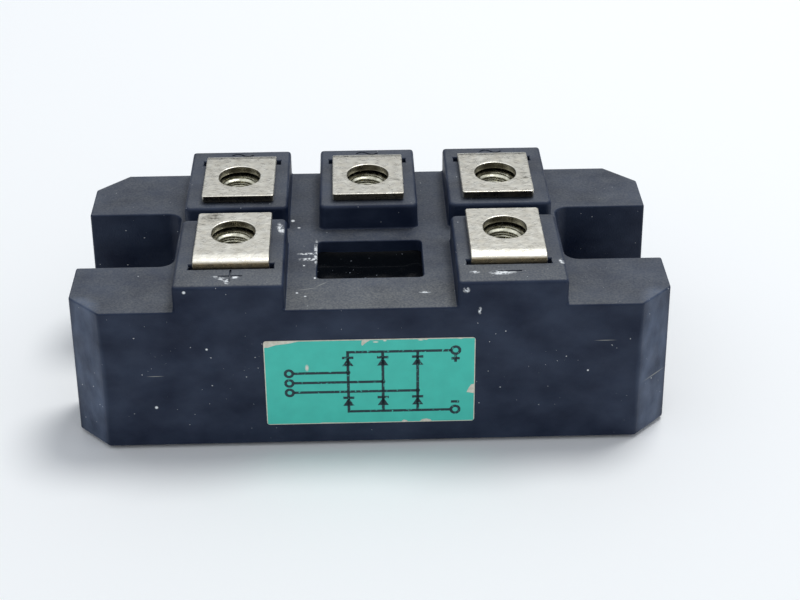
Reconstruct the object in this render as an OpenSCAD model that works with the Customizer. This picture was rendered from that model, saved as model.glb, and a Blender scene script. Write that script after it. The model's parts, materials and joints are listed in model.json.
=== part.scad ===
// Three-phase bridge rectifier: six diode dies on an insulated copper pattern, soldered to a
// metal base plate and potted in a moulded case with five nutted screw terminals.
// The three mains terminals stand at the rear, plus and minus stand at the front.
//
// Millimetres. The origin is the middle of the base plate's underside, +Z points up,
// and the front, which carries the label, faces -Y.

/* [Case] */
// Length of the case at its foot
case_l = 80; // [76:1:100]
// Width of the case at its foot
case_w = 40; // [38:1:55]
// Height of the case's foot above the mounting surface
foot_gap = 0.5; // [0.1:0.1:1.5]
// Height of the main body's top
body_h = 21.2; // [18:0.1:30]
// Size of the 45 degree chamfer at each upright corner
corner = 4.5; // [1:0.5:7]
// Lean of the outer walls for release from the mould, in degrees
draft = 1; // [0.5:0.25:2]
// Thickness of the front and rear walls
wall_t = 2.3; // [1.8:0.1:3]
// Thickness of the skirt round the base plate
skirt_t = 1.2; // [0.8:0.1:1.5]
// Thickness of the body's roof
roof_t = 2.5; // [1.8:0.1:3.5]

/* [End recesses] */
// Width of the recess in each end
recess_w = 15; // [10:0.5:16]
// Depth of each recess from the end of the case
recess_l = 13.4; // [11:0.1:15]
// Radius of the recess's inner corners
recess_r = 2; // [0.5:0.5:4]
// Thickness of the wall between a recess and the chamber
end_wall_t = 2.2; // [1.6:0.1:3.5]
// Thickness of the wall between a recess and the hollow ear beside it
ear_wall_t = 2.6; // [1.6:0.1:3.5]

/* [Terminal blocks] */
// Height of the blocks above the body's top
block_h = 3.7; // [2.5:0.1:6]
// Width of the four outer blocks
side_block_w = 14.4; // [13:0.1:16]
// Width of the middle block
middle_block_w = 13.7; // [12.5:0.1:16]
// Radius of the blocks' upright corners
block_r = 0.9; // [0.3:0.1:2]
// How far the outer blocks lie outboard of their terminals
block_out = 0.2; // [0:0.1:0.5]
// What a rear block shows in front of its terminal
rear_lip = 1.25; // [0.4:0.05:2]
// What a front block shows behind its terminal
front_lip = 0.5; // [0.4:0.05:1.5]

/* [Filling window] */
// Width of the window in the roof
window_w = 14.3; // [8:0.1:18]
// Length of the window, front to rear
window_l = 10.1; // [5:0.1:11.5]
// Distance of the window from the front of the case's foot
window_in = 8.4; // [5:0.1:9.5]
// Radius of the window's corners
window_r = 0.7; // [0.3:0.1:2]
// How far the potting resin stands up in the window above the roof's underside
resin_rise = 0.3; // [0.1:0.1:1.5]

/* [Terminals] */
// Width of a terminal strip
strip_w = 10; // [8:0.1:11.4]
// Thickness of a terminal strip
strip_t = 1; // [0.6:0.1:1.5]
// Inner radius of its bends
bend_r = 0.4; // [0.3:0.1:1.5]
// Radius of the corners at its free edge
strip_corner = 0.4; // [0.1:0.1:1.5]
// Gap between a strip and the block under it
strip_lift = 0.2; // [0.1:0.05:0.4]
// Width of the screw hole
hole_w = 5.8; // [5.2:0.1:7]
// Extra length of the screw hole along the strip
hole_slot = 0.5; // [0:0.1:1.5]
// Screw hole to the outer face of the leg, rear terminals
rear_leg = 7.3; // [6.8:0.1:8.4]
// Screw hole to the outer face of the leg, front terminals
front_leg = 7.7; // [6.8:0.1:8.4]
// Screw hole to the free edge, rear terminals
rear_edge = 6; // [4.5:0.1:7]
// Screw hole to the free edge, front terminals
front_edge = 5.5; // [4.5:0.1:6.5]
// Leg to the rear wall inside the chamber
rear_leg_gap = 1.2; // [0.8:0.1:2]
// Leg to the front wall inside the chamber
front_leg_gap = 2.8; // [1:0.1:3.5]
// Outer terminals' legs to the end walls inside the chamber
side_leg_gap = 1.2; // [1:0.1:2]
// Slack of a leg in its slot, front and rear
slot_gap = 0.15; // [0.1:0.05:0.3]
// Slack of a leg in its slot, left and right
slot_side_gap = 0.6; // [0.2:0.1:0.7]
// Width of the narrow lower leg of the plus and minus terminals
neck_w = 4; // [3:0.1:5]
// Inset of the narrow leg from the strip's outer edge
neck_in = 0.3; // [0:0.1:1]
// Length of the plus and minus terminals' feet
dc_foot_l = 5.4; // [4:0.1:6.5]
// Length of the wide part of the mains terminals' feet
ac_foot_l = 5.5; // [3.5:0.1:5.7]
// Width of the tongue that a mains terminal lays over its two dies
tongue_w = 6; // [4:0.1:7.5]
// How far the tongue reaches past the middle of the front die
tongue_over = 3; // [1:0.1:4]

/* [Nuts] */
// Width across the flats of the nuts
nut_af = 8; // [7:0.5:10]
// Height of the nuts
nut_h = 4; // [3:0.1:5]
// Slack round a nut in its pocket
nut_gap = 0.1; // [0.05:0.05:0.3]
// Depth of a nut's top below the top of its block
nut_drop = 0.1; // [0:0.05:0.5]
// Bore of the nuts
bore_d = 4.2; // [3.2:0.1:5]
// Chamfer at both mouths of a nut's bore
nut_mouth = 0.4; // [0.1:0.1:0.8]
// Blind hole under each nut for the end of the screw
screw_d = 5.6; // [5.3:0.1:6.8]
// Depth of the blind hole under the nut
screw_depth = 5; // [2:0.5:8]
// Wall of the well that holds the blind hole
well_wall = 1.7; // [1:0.1:2]
// Floor of that well
well_floor = 1.5; // [0.8:0.1:2]

/* [Base plate] */
// Thickness of the base plate
base_t = 3; // [2:0.5:4]
// Clearance of the base plate in the skirt
base_gap = 0.15; // [0.05:0.05:0.3]
// Diameter of the two mounting holes
mount_d = 5.5; // [4.2:0.1:6.5]
// Distance of a mounting hole from the end of the case
mount_in = 7; // [5.5:0.1:8]

/* [Circuit] */
// Radius of the chamber's upright corners
chamber_r = 1.5; // [0.5:0.5:3]
// Thickness of the foil under the ceramic
foil_t = 0.3; // [0.2:0.05:0.5]
// Thickness of the ceramic
ceramic_t = 0.6; // [0.3:0.05:1]
// Ceramic to the front and rear walls
ceramic_gap = 2.4; // [1.5:0.1:3]
// Thickness of the copper pads
pad_t = 0.3; // [0.2:0.05:0.5]
// Bare ceramic round the outside of the pads, and round the foil below
pad_edge = 0.7; // [0.3:0.1:1]
// Gap between the two pads
pad_gap = 1; // [0.5:0.1:1.5]
// How far the pads lie to the rear of the middle
pad_shift = 0.5; // [0:0.1:1]
// Width of the arm of each pad that carries a terminal's foot
arm_w = 4.6; // [3:0.1:5.4]
// Side of a diode die
die_s = 8; // [6:0.1:8.5]
// Thickness of a diode die
die_t = 0.4; // [0.2:0.05:0.6]
// Pad round the dies, front and rear
die_margin = 0.75; // [0.3:0.05:1]
// Pad beside the outer dies
die_side = 1.2; // [0.3:0.1:1.5]
// Height of the gel's top above the base plate
gel_h = 5; // [3.5:0.1:7]

/* [Label] */
// Width of the label
label_w = 27.8; // [16:0.1:60]
// Height of the label
label_h = 13.1; // [8:0.1:14]
// Thickness of the label
label_t = 0.1; // [0.05:0.01:0.2]
// Middle of the label, left or right of the case's middle
label_x = -0.3; // [-8:0.1:8]
// Height of the label's lower edge above the mounting surface
label_z = 3.5; // [2:0.1:3.8]
// Radius of the label's corners
label_r = 0.5; // [0.1:0.1:2]

/* [Hidden] */
$fn = 48;
// Overlap of a cutting shape past the face that it cuts
over = 1;
// Longer than anything here, for shapes that cut right across
far = 2 * (case_l + case_w);

// Levels, from the base plate up
roof_z = body_h - roof_t;
block_top = body_h + block_h;
nut_z = block_top - nut_drop - nut_h;
well_z = nut_z - screw_depth - well_floor;
foil_z = base_t;
ceramic_z = foil_z + foil_t;
pad_z = ceramic_z + ceramic_t;
die_z = pad_z + pad_t;
tongue_z = die_z + die_t;
gel_top = base_t + gel_h;
resin_top = roof_z + resin_rise;
strip_top = block_top + strip_lift + strip_t;
// The plus and minus legs narrow a little under the roof
neck_z = roof_z - 3;

// Half lengths and half widths, from the middle outwards
recess_x = case_l / 2 - recess_l;
chamber_x = recess_x - end_wall_t;
chamber_y = case_w / 2 - wall_t;
ear_y = recess_w / 2 + ear_wall_t;

// Terminals: where their screws stand, and their blocks
side_x = chamber_x - side_leg_gap - strip_w / 2;
block_x = side_x + block_out;
rear_leg_y = chamber_y - rear_leg_gap;
front_leg_y = -(chamber_y - front_leg_gap);
rear_y = rear_leg_y - rear_leg;
front_y = front_leg_y + front_leg;
rear_block_y = rear_y - rear_edge - rear_lip;
front_block_y = front_y + front_edge + front_lip;
// Where each nut and screw stands: three mains terminals, then plus, then minus
SCREWS = [[-side_x, rear_y], [0, rear_y], [side_x, rear_y], [-side_x, front_y], [side_x, front_y]];

// A bend as it leaves the block has to clear the slot's inner edge
bend_room = bend_r - sqrt(bend_r * bend_r - pow(bend_r - strip_lift, 2)) + slot_gap;

// Circuit: the pads end under the narrow legs' arms, and the dies stand on two rows between them
neck_x = side_x + strip_w / 2 - neck_in - neck_w / 2;
pad_x = neck_x + arm_w / 2;
ceramic_x = pad_x + pad_edge;
ceramic_y = chamber_y - ceramic_gap;
row_w = die_s + 2 * die_margin;
plus_row_y = pad_shift + pad_gap / 2;
minus_row_y = pad_shift - pad_gap / 2;
plus_die_y = plus_row_y + row_w / 2;
minus_die_y = minus_row_y - row_w / 2;
minus_end_x = pad_x - arm_w - pad_gap;
die_pitch = minus_end_x - die_side - die_s / 2;

// ---- Outlines ----

// The case's outline, a rectangle with 45 degree corners, moved inwards on all sides
module outline(inset) {
    x = case_l / 2 - inset;
    y = case_w / 2 - inset;
    c = corner - inset * (2 - sqrt(2));
    polygon([
        [x - c, y], [c - x, y], [-x, y - c], [-x, c - y],
        [c - x, -y], [x - c, -y], [x, c - y], [x, y - c]
    ]);
}

// A rectangle from one corner to the opposite one, with round corners
module rounded(from, to, r) {
    size = to - from;
    translate([from.x + r, from.y]) square([size.x - 2 * r, size.y]);
    translate([from.x, from.y + r]) square([size.x, size.y - 2 * r]);
    for (x = [from.x + r, to.x - r], y = [from.y + r, to.y - r])
        translate([x, y]) circle(r);
}

// A flat plate of the given outline between two levels
module layer(from, to) {
    translate([0, 0, from]) linear_extrude(to - from) children();
}

// ---- Base plate ----

module base_plate() {
    color("silver")
    difference() {
        layer(0, base_t) outline(skirt_t + base_gap);
        for (side = [-1, 1])
            translate([side * (case_l / 2 - mount_in), 0, -over])
                cylinder(d = mount_d, h = base_t + 2 * over);
    }
}

// ---- Case ----

// All that lies outside one outer wall, which faces the given way and leans back by the draft
module outside(angle, distance) {
    rotate(angle)
        translate([distance, 0, foot_gap])
            rotate([0, -draft, 0])
                translate([0, -far / 2, -far / 2]) cube([far, far, far]);
}

// Blocks under the terminals, left open at the outer faces, which cut them to length
module block_columns() {
    for (x = [-block_x, block_x]) {
        block_column(x, side_block_w, rear_block_y, case_w);
        block_column(x, side_block_w, -case_w, front_block_y);
    }
    block_column(0, middle_block_w, rear_block_y, case_w);
}

module block_column(x, width, from_y, to_y) {
    layer(roof_z, block_top)
        rounded([x - width / 2, from_y], [x + width / 2, to_y], block_r);
}

// The moulding as a full block, with its leaning walls and the recess in each end
module case_form() {
    difference() {
        union() {
            layer(foot_gap, body_h) outline(0);
            block_columns();
        }
        for (side = [0, 180]) {
            outside(side, case_l / 2);
            outside(side + 90, case_w / 2);
            outside(side + 45, (case_l / 2 + case_w / 2 - corner) / sqrt(2));
            outside(side + 135, (case_l / 2 + case_w / 2 - corner) / sqrt(2));
            rotate(side) layer(-over, block_top + over)
                rounded([recess_x, -recess_w / 2], [case_l, recess_w / 2], recess_r);
        }
    }
}

// The chamber that holds the circuit, up to the roof
module chamber(from, to) {
    layer(from, to) rounded([-chamber_x, -chamber_y], [chamber_x, chamber_y], chamber_r);
}

// A hollow in each ear, closed below by the base plate
module ear_hollows() {
    layer(0, roof_z)
        intersection() {
            outline(wall_t);
            for (x = [-1, 1], y = [-1, 1])
                translate([x * (recess_x + far / 2), y * (ear_y + far / 2)])
                    square(far, center = true);
        }
}

// The window through the roof, through which the case is filled
module window(from, to) {
    front = window_in - case_w / 2;
    layer(from, to)
        rounded([-window_w / 2, front], [window_w / 2, front + window_l], window_r);
}

// Closed wells under the nuts, which keep the resin out of the screws' way
module wells() {
    for (p = SCREWS)
        translate([p.x, p.y, well_z])
            cylinder(d = screw_d + 2 * well_wall, h = nut_z - well_z);
}

// A six-sided prism, flats to the front and rear, with the given width across its flats
module hexagon(af, from, to) {
    translate([0, 0, from]) cylinder(d = af / cos(30), h = to - from, $fn = 6);
}

// Room for one nut, its screw and the screw's end below it
module nut_seat() {
    hexagon(nut_af + 2 * nut_gap, nut_z, block_top + over);
    translate([0, 0, nut_z - screw_depth]) cylinder(d = screw_d, h = screw_depth + over);
}

// A slot from the chamber to the block's top for one leg, whose outer face lies on the side that
// it faces: 1 for the rear, -1 for the front
module leg_slot(x, leg_y, facing) {
    inner = leg_y - facing * (strip_t + bend_room);
    outer = leg_y + facing * slot_gap;
    width = strip_w + 2 * slot_side_gap;
    translate([x - width / 2, min(inner, outer), roof_z - over])
        cube([width, abs(outer - inner), block_h + roof_t + 2 * over]);
}

module case() {
    color("#2c2e33")
    difference() {
        union() {
            difference() {
                case_form();
                layer(-over, base_t) outline(skirt_t);
                chamber(0, roof_z);
                ear_hollows();
            }
            wells();
        }
        window(roof_z - over, block_top);
        for (p = SCREWS)
            translate(p) nut_seat();
        for (x = [-side_x, 0, side_x])
            leg_slot(x, rear_leg_y, 1);
        for (x = [-side_x, side_x])
            leg_slot(x, front_leg_y, -1);
    }
}

// ---- Terminals ----

// Side view of a terminal: a strip bent twice, with its leg's outer face at 0 and both arms
// pointing away from it. Height and arm lengths are taken over the outer faces.
module bent_strip(height, upper, lower) {
    outer_r = bend_r + strip_t;
    translate([0, outer_r]) square([strip_t, height - 2 * outer_r]);
    translate([outer_r, height - strip_t]) square([upper - outer_r, strip_t]);
    translate([outer_r, 0]) square([lower - outer_r, strip_t]);
    translate([outer_r, height - outer_r]) bend([-outer_r, 0], outer_r);
    translate([outer_r, outer_r]) bend([-outer_r, -outer_r], outer_r);
}

// A quarter of a ring about 0, in the quadrant whose lowest corner is given
module bend(quadrant, outer_r) {
    intersection() {
        difference() {
            circle(outer_r);
            circle(bend_r);
        }
        translate(quadrant) square(outer_r);
    }
}

// The bent strip over the case's whole length, before its blank's outline cuts it to width.
// Its leg's outer face lies on the side that it faces.
module wide_strip(leg_y, facing, bottom, upper, lower) {
    translate([-case_l / 2, leg_y, bottom])
        rotate([90, 0, 90])
            linear_extrude(case_l)
                mirror([facing > 0 ? 1 : 0, 0]) bent_strip(strip_top - bottom, upper, lower);
}

// What the screw end of a terminal covers in plan, with round corners at its free edge
module screw_end(x, y, facing, edge) {
    free = y - facing * edge;
    back = y + facing * case_w;
    rounded([x - strip_w / 2, min(free, back)], [x + strip_w / 2, max(free, back)], strip_corner);
}

module screw_hole(x, y) {
    translate([0, 0, strip_top - strip_t - over])
        linear_extrude(strip_t + 2 * over) {
            for (end = [-1, 1])
                translate([x, y + end * hole_slot / 2]) circle(d = hole_w);
            translate([x - hole_w / 2, y - hole_slot / 2]) square([hole_w, hole_slot]);
        }
}

// Mains terminal: the leg comes down behind the ceramic, and a tongue runs forward over two dies.
// place is -1 for the left one, 0 for the middle one and 1 for the right one.
module mains_terminal(place) {
    x = place * side_x;
    die_x = place * die_pitch;
    // The foot spans from the leg to the tongue
    left = min(x - strip_w / 2, die_x - tongue_w / 2);
    right = max(x + strip_w / 2, die_x + tongue_w / 2);
    reach = rear_leg_y - minus_die_y + tongue_over;
    foot_top = tongue_z + bend_r + strip_t;
    color("lightgray")
    difference() {
        intersection() {
            wide_strip(rear_leg_y, 1, tongue_z, rear_leg + rear_edge, reach);
            union() {
                layer(foot_top, strip_top + over) screw_end(x, rear_y, 1, rear_edge);
                layer(0, foot_top) {
                    translate([left, rear_leg_y - ac_foot_l])
                        square([right - left, ac_foot_l + over]);
                    translate([die_x - tongue_w / 2, -case_w / 2])
                        square([tongue_w, case_w / 2 + rear_leg_y]);
                }
            }
        }
        screw_hole(x, rear_y);
    }
}

// Plus or minus terminal: the leg narrows below the roof and its foot stands on the pad's arm.
// side is -1 for plus, on the left, and 1 for minus, on the right.
module dc_terminal(side) {
    x = side * side_x;
    color("lightgray")
    difference() {
        intersection() {
            wide_strip(front_leg_y, -1, die_z, front_leg + front_edge, dc_foot_l);
            union() {
                layer(neck_z, strip_top + over) screw_end(x, front_y, -1, front_edge);
                layer(0, neck_z)
                    translate([side * neck_x - neck_w / 2, -case_w / 2])
                        square([neck_w, case_w]);
            }
        }
        screw_hole(x, front_y);
    }
}

// ---- Nuts ----

module nut(place) {
    x = SCREWS[place - 1].x;
    y = SCREWS[place - 1].y;
    // The corners are turned down at both ends, as on any hexagon nut
    across = nut_af / cos(30);
    turned = (across - nut_af) / 2 * tan(30);
    color("silver")
    translate([x, y, nut_z])
        difference() {
            intersection() {
                hexagon(nut_af, 0, nut_h);
                union() {
                    cylinder(d1 = nut_af, d2 = across, h = turned);
                    translate([0, 0, turned]) cylinder(d = across, h = nut_h - 2 * turned);
                    translate([0, 0, nut_h - turned]) cylinder(d1 = across, d2 = nut_af, h = turned);
                }
            }
            translate([0, 0, -over]) cylinder(d = bore_d, h = nut_h + 2 * over);
            mouth(0, 1);
            mouth(nut_h, -1);
        }
}

// Countersink at one end of a nut's bore, which narrows upwards (1) or downwards (-1)
module mouth(z, way) {
    wide = bore_d + 2 * nut_mouth + 2 * over;
    translate([0, 0, way > 0 ? z - over : z - nut_mouth])
        cylinder(
            d1 = way > 0 ? wide : bore_d,
            d2 = way > 0 ? bore_d : wide,
            h = nut_mouth + over
        );
}

// ---- Circuit ----

module under_foil() {
    color("peru")
    layer(foil_z, ceramic_z)
        translate([pad_edge - ceramic_x, pad_edge - ceramic_y])
            square([2 * (ceramic_x - pad_edge), 2 * (ceramic_y - pad_edge)]);
}

module ceramic() {
    color("white")
    layer(ceramic_z, pad_z)
        square([2 * ceramic_x, 2 * ceramic_y], center = true);
}

// A pad's arm at one end of the ceramic, from the front edge back to the given line
module pad_arm(side, back) {
    front = pad_edge - ceramic_y;
    translate([side * neck_x - arm_w / 2, front]) square([arm_w, back - front]);
}

module plus_pad() {
    color("peru")
    layer(pad_z, die_z) {
        translate([-pad_x, plus_row_y]) square([2 * pad_x, row_w]);
        pad_arm(-1, plus_row_y + row_w);
    }
}

module minus_pad() {
    color("peru")
    layer(pad_z, die_z) {
        translate([-minus_end_x, minus_row_y - row_w]) square([minus_end_x + pad_x, row_w]);
        pad_arm(1, minus_row_y);
    }
}

// Dies 1 to 3 stand on the plus pad, 4 to 6 on the minus pad, from left to right
module diode(number) {
    x = ((number - 1) % 3 - 1) * die_pitch;
    y = number > 3 ? minus_die_y : plus_die_y;
    color("dimgray")
    translate([x - die_s / 2, y - die_s / 2, die_z]) cube([die_s, die_s, die_t]);
}

// Everything that stands in the gel or the resin, apart from the case
module held_pieces() {
    under_foil();
    ceramic();
    plus_pad();
    minus_pad();
    for (number = [1:6]) diode(number);
    terminals();
}

module terminals() {
    for (place = [-1:1]) mains_terminal(place);
    for (side = [-1, 1]) dc_terminal(side);
}

// ---- Filling ----

module gel() {
    color("lightblue")
    difference() {
        chamber(base_t, gel_top);
        held_pieces();
    }
}

module resin() {
    color("#121214")
    difference() {
        union() {
            chamber(gel_top, roof_z);
            window(roof_z, resin_top);
        }
        wells();
        terminals();
    }
}

// ---- Label ----

// A printed film on the front wall, which it follows as the wall leans
module label() {
    foot = label_z - foot_gap;
    color("#3fae93")
    translate([label_x, -case_w / 2, foot_gap])
        rotate([90 - draft, 0, 0])
            linear_extrude(label_t)
                rounded([-label_w / 2, foot], [label_w / 2, foot + label_h], label_r);
}

base_plate();
under_foil();
ceramic();
plus_pad();
minus_pad();
diode(1);  // diode_1
diode(2);  // diode_2
diode(3);  // diode_3
diode(4);  // diode_4
diode(5);  // diode_5
diode(6);  // diode_6
mains_terminal(-1);  // mains_terminal_1
mains_terminal(0);  // mains_terminal_2
mains_terminal(1);  // mains_terminal_3
dc_terminal(-1);  // plus_terminal
dc_terminal(1);  // minus_terminal
nut(1);  // nut_1
nut(2);  // nut_2
nut(3);  // nut_3
nut(4);  // nut_4
nut(5);  // nut_5
case();
gel();
resin();
label();
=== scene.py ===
"""Looks of a three-phase bridge rectifier.

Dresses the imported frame: case, terminals, nuts, potting resin, label, base plate and circuit.
"""

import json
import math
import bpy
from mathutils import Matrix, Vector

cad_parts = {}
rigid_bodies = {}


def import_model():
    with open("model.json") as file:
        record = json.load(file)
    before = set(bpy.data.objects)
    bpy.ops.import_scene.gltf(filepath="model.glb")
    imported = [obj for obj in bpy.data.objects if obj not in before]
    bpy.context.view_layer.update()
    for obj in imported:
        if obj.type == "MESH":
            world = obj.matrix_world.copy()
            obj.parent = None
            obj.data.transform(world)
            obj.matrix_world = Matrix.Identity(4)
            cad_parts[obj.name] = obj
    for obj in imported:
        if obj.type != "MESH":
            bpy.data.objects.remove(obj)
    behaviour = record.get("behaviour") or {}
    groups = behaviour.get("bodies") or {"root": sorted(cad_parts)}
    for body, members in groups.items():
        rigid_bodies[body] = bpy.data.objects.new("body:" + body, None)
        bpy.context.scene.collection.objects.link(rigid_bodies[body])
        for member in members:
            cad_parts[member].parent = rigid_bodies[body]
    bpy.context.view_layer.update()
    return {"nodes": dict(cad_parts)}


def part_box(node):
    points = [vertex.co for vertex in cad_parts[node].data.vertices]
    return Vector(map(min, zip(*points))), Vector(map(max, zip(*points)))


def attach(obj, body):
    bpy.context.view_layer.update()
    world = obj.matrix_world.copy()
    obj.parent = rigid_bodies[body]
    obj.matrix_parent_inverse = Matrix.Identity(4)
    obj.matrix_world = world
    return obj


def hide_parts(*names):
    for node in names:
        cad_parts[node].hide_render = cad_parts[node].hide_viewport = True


bl_info = {
    "name": "Bridge Rectifier",
    "version": (1, 0, 0),
    "blender": (4, 5, 0),
    "location": "3D View > Sidebar > Rectifier",
    "description": "Builds the looks of a bridge rectifier round its packed frame",
    "category": "Object",
}

import bmesh
import bpy
from bpy.props import FloatProperty, FloatVectorProperty, PointerProperty
from mathutils import Matrix, Vector

for left_over in list(bpy.data.objects):
    bpy.data.objects.remove(left_over)
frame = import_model()

MM = 0.001
MAINS = ("mains_terminal_1", "mains_terminal_2", "mains_terminal_3")
SIDES = ("plus_terminal", "minus_terminal")
NUTS = ("nut_1", "nut_2", "nut_3", "nut_4", "nut_5")
DIES = ("diode_1", "diode_2", "diode_3", "diode_4", "diode_5", "diode_6")

# Points nearer than this are one point, in metres
WELD = 2e-6
# Faces that meet at less than this are one flat face, in degrees
FLAT_BELOW = 0.6
# Edges that turn by more than this get a round, in degrees
ROUND_ABOVE = 30
# Label layers: how far behind the label's front each lies, and its thickness, in mm
PAPER_LAYER = (0.03, 0.07)
PRINT_LAYER = (0.01, 0.03)
INK_LAYER = (0.0, 0.02)
# Where the camera stands, in mm, and how it is turned, in degrees
EYE = (-1.416, -206.124, 134.454)
EYE_TURN = (59.013, 0.266, -1.737)


# ---- Sizes and colours that a user would change ----


def linear(code):
    """An sRGB hex colour as linear red, green, blue and alpha."""
    parts = [int(code[i : i + 2], 16) / 255 for i in (1, 3, 5)]
    return *[p / 12.92 if p <= 0.04045 else ((p + 0.055) / 1.055) ** 2.4 for p in parts], 1


def size(name, description, default):
    """A length that a user can change."""
    return FloatProperty(
        name=name, description=description, default=default, subtype="DISTANCE", unit="LENGTH"
    )


def colour(name, description, code):
    """A colour that a user can change, given as an sRGB hex code."""
    return FloatVectorProperty(
        name=name, description=description, default=linear(code), size=4, subtype="COLOR", min=0, max=1
    )


def strength(name, description, default):
    """A level of light that a user can change, where 1 lights white to full white."""
    return FloatProperty(name=name, description=description, default=default)


class CaseLooks(bpy.types.PropertyGroup):
    edge: size("Edge radius", "Radius of the moulding's outer edges", 0.3 * MM)
    block_edge: size("Block edge radius", "Radius of the terminal blocks' edges", 0.6 * MM)
    root: size("Root radius", "Radius where the blocks rise from the roof", 0.25 * MM)
    mouth: size("Mouth radius", "Radius round slots, pockets and window", 0.2 * MM)
    mark_width: size("Mark width", "Width of the lines of the polarity marks", 0.4 * MM)
    mark_depth: size("Mark depth", "Depth of the polarity marks", 0.34 * MM)
    plastic: colour("Plastic", "Colour of the moulding compound", "#0c1930")
    haze: colour("Haze", "Smears of handling on the walls", "#7585a0")
    # This colour paints both the dust on the upper faces and the sheen that the light above gives them
    dust_sheen_colour: colour("Dust", "Dust that lies on the upper faces", "#8d8f8c")
    scuff: colour("Scuffs", "Where the edges were rubbed pale", "#e8ecee")


class TerminalLooks(bpy.types.PropertyGroup):
    edge: size("Edge radius", "Rolled edge of the punched strip", 0.14 * MM)
    bend: size("Bend radius", "Outer radius of the bend over the block", 1.4 * MM)
    crease: size("Crease", "Leg's outer face to the crease that the bending tool leaves", 1.85 * MM)
    sink: size("Sink", "How far the strip sinks from the crease to the bend", 0.3 * MM)
    plating: colour("Plating", "Colour of the dull nickel", "#e2dfd3")
    tarnish: colour("Tarnish", "Brown stain of worn plating", "#9c8c6c")
    # Also paints the shade on faces that look to the front, besides the stains and pits
    copper_and_shade: colour("Cut faces", "Dark copper on the punched edges and in the pits", "#37301f")


class NutLooks(bpy.types.PropertyGroup):
    pitch: size("Pitch", "Pitch of the M5 thread", 0.8 * MM)
    crest: size("Crest radius", "Radius at the thread's crests", 2.12 * MM)
    groove: size("Groove radius", "Radius at the bottom of the thread's grooves", 2.5 * MM)
    mouth: size("Mouth", "Countersink at both ends of the thread", 0.4 * MM)
    steel: colour("Steel", "Colour of the plated steel", "#cfcdbb")
    grime: colour("Grime", "Old grease in the thread", "#5f5a44")


class PottingLooks(bpy.types.PropertyGroup):
    climb: size("Climb", "How far the resin climbs the window's walls", 0.45 * MM)
    reach: size("Reach", "How far from the walls the climb is felt", 0.9 * MM)
    resin: colour("Resin", "Colour of the black casting resin", "#030507")
    # Pale specks painted on the resin as glints of light
    glint_speck: colour("Motes", "Dust that the resin caught", "#9aa3ad")


class LabelLooks(bpy.types.PropertyGroup):
    line: size("Line width", "Width of the printed lines", 0.38 * MM)
    rim: size("Bare rim", "Paper left bare round the print", 0.12 * MM)
    film: colour("Film", "Colour of the printed ground", "#45ccba")
    worn: colour("Worn print", "Print that is rubbed darker", "#3cb5a5")
    ink: colour("Ink", "Colour of the printed lines", "#17333b")
    paper: colour("Paper", "Colour of the paper where the print is torn off", "#e6e2d3")
    dirt: colour("Dirt", "Dirt on the bare paper", "#b9b29d")


class StageLooks(bpy.types.PropertyGroup):
    floor: colour("Floor", "Colour of the plain floor", "#fbfdfd")
    key: strength("Key light", "Level of the light above", 0.46)
    sky: strength("Sky", "Level of the light from all round", 0.6)
    sky_low: strength("Low sky in gloss", "Level that gloss mirrors near the horizon", 0.1)
    sky_high: strength("High sky in gloss", "Level that gloss mirrors overhead", 1.35)
    lens: FloatProperty(
        name="Lens", description="Focal length of the camera", default=75.94, unit="CAMERA"
    )


# ---- Meshes ----


def piece(name, slot, material, mesh, *replaced):
    """Puts a finished mesh into the scene as one piece of the rectifier."""
    made = bpy.data.objects.new(name, mesh)
    bpy.context.scene.collection.objects.link(made)
    mesh.materials.clear()
    mesh.materials.append(material)
    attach(made, "root")
    if replaced:
        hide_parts(*replaced)
    return made


def mesh_from(bm, name):
    """Turns a bmesh into a mesh as it is."""
    mesh = bpy.data.meshes.new(name)
    bm.to_mesh(mesh)
    bm.free()
    return mesh


def mesh_of(bm, name, smooth=35):
    """Turns a bmesh into a mesh that is smooth up to the given angle in degrees."""
    bmesh.ops.recalc_face_normals(bm, faces=bm.faces)
    mesh = mesh_from(bm, name)
    mesh.shade_smooth()
    mesh.set_sharp_from_angle(angle=math.radians(smooth))
    return mesh


def with_modifiers(mesh, *settings):
    """The mesh after modifiers, given as (type, {setting: value}), in a row."""
    stand = bpy.data.objects.new("stand", mesh)
    bpy.context.scene.collection.objects.link(stand)
    for kind, values in settings:
        modifier = stand.modifiers.new(kind.lower(), kind)
        for key, value in values.items():
            setattr(modifier, key, value)
    graph = bpy.context.evaluated_depsgraph_get()
    made = bpy.data.meshes.new_from_object(stand.evaluated_get(graph))
    bpy.data.objects.remove(stand)
    return made


def plain_form(node):
    """A CAD node's form with whole flat faces, as a bmesh."""
    bm = bmesh.new()
    bm.from_mesh(frame["nodes"][node].data)
    bmesh.ops.remove_doubles(bm, verts=bm.verts, dist=WELD)
    flat = math.radians(FLAT_BELOW)
    bmesh.ops.dissolve_limit(bm, angle_limit=flat, verts=bm.verts, edges=bm.edges)
    bmesh.ops.recalc_face_normals(bm, faces=bm.faces)
    return bm


def softened(bm, name, radius_at, segments=3):
    """Rounds each sharp edge by the radius that radius_at(edge, convex) gives for it."""
    weight = bm.edges.layers.float.new("bevel_weight_edge")
    least = math.radians(ROUND_ABOVE)
    sharp = [e for e in bm.edges if len(e.link_faces) == 2 and e.calc_face_angle(0) > least]
    radii = {e: radius_at(e, e.is_convex) for e in sharp}
    widest = max(radii.values())
    for e, r in radii.items():
        e[weight] = r / widest
    bevel = {
        "width": widest,
        "segments": segments,
        "limit_method": "WEIGHT",
        "use_clamp_overlap": False,
        "loop_slide": False,
        "miter_outer": "MITER_ARC",
    }
    return with_modifiers(mesh_from(bm, name), ("BEVEL", bevel))


def shaded(mesh, sharp=40):
    """The mesh with smooth rounds between flat faces, and sharp edges from an angle in degrees."""
    mesh.shade_smooth()
    mesh.set_sharp_from_angle(angle=math.radians(sharp))
    return with_modifiers(mesh, ("WEIGHTED_NORMAL", {"keep_sharp": True, "weight": 80}))


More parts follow.
